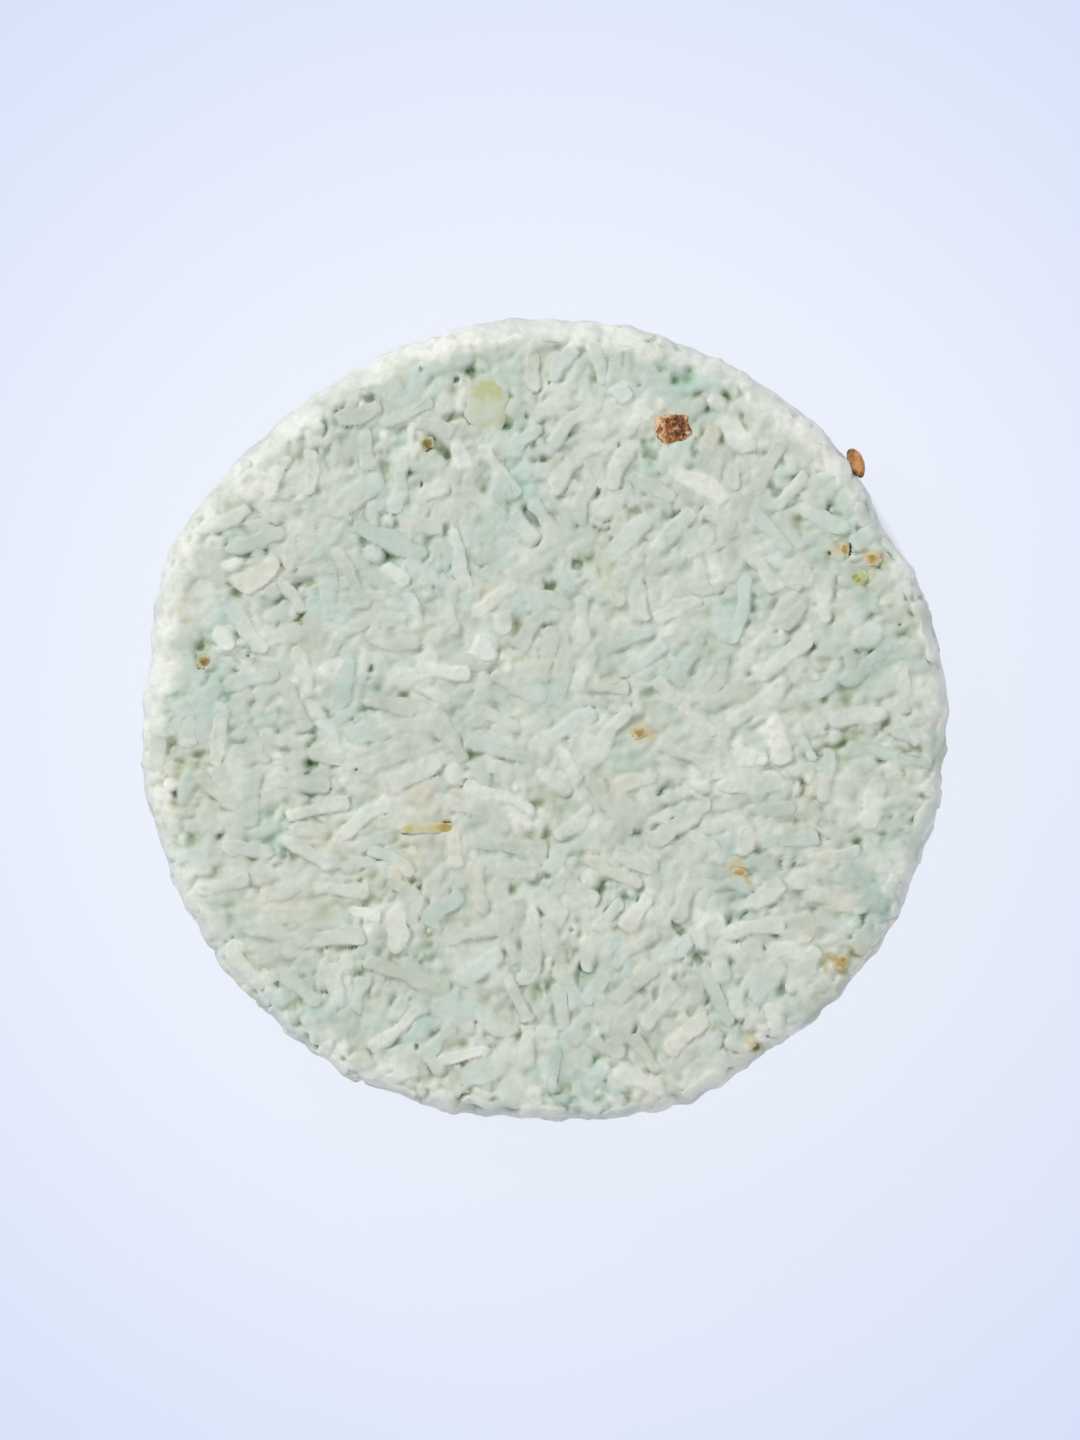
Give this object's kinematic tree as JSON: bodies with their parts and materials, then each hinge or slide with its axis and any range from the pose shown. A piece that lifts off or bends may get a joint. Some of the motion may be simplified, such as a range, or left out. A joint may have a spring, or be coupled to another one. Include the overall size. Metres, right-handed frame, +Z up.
{
  "type": "shaving soap puck",
  "caption": "Round mint-green puck of shaving soap pressed from short soap noodles, with rounded rims, small pits and bits of dried plant in its surface.",
  "frame": {"origin": "centre of the flat face that the puck rests on", "axes": "+Z up along the puck's axis, from the face it rests on to the upper pressed face; +X and +Y lie in the resting face"},
  "size_m": [0.06, 0.06, 0.022],
  "materials": {
    "soap": "matte waxy soap",
    "white_soap": "matte waxy soap",
    "bark": "rough dry bark",
    "husk": "dry seed husk",
    "petal": "dry petal",
    "herb": "dry herb"
  },
  "bodies": {
    "root": {"pressed_core": "soap", "top_noodles": "soap", "top_rim_noodles": "soap", "wall_noodles": "soap", "bottom_rim_noodles": "soap", "bottom_noodles": "soap", "white_granules": "white_soap", "bark_fragment": "bark", "rim_seed_husk": "husk", "stem_sliver": "husk", "amber_flecks": "husk", "petal_fragment": "petal", "leaf_fleck": "petal", "herb_specks": "herb"}
  },
  "joints": []
}
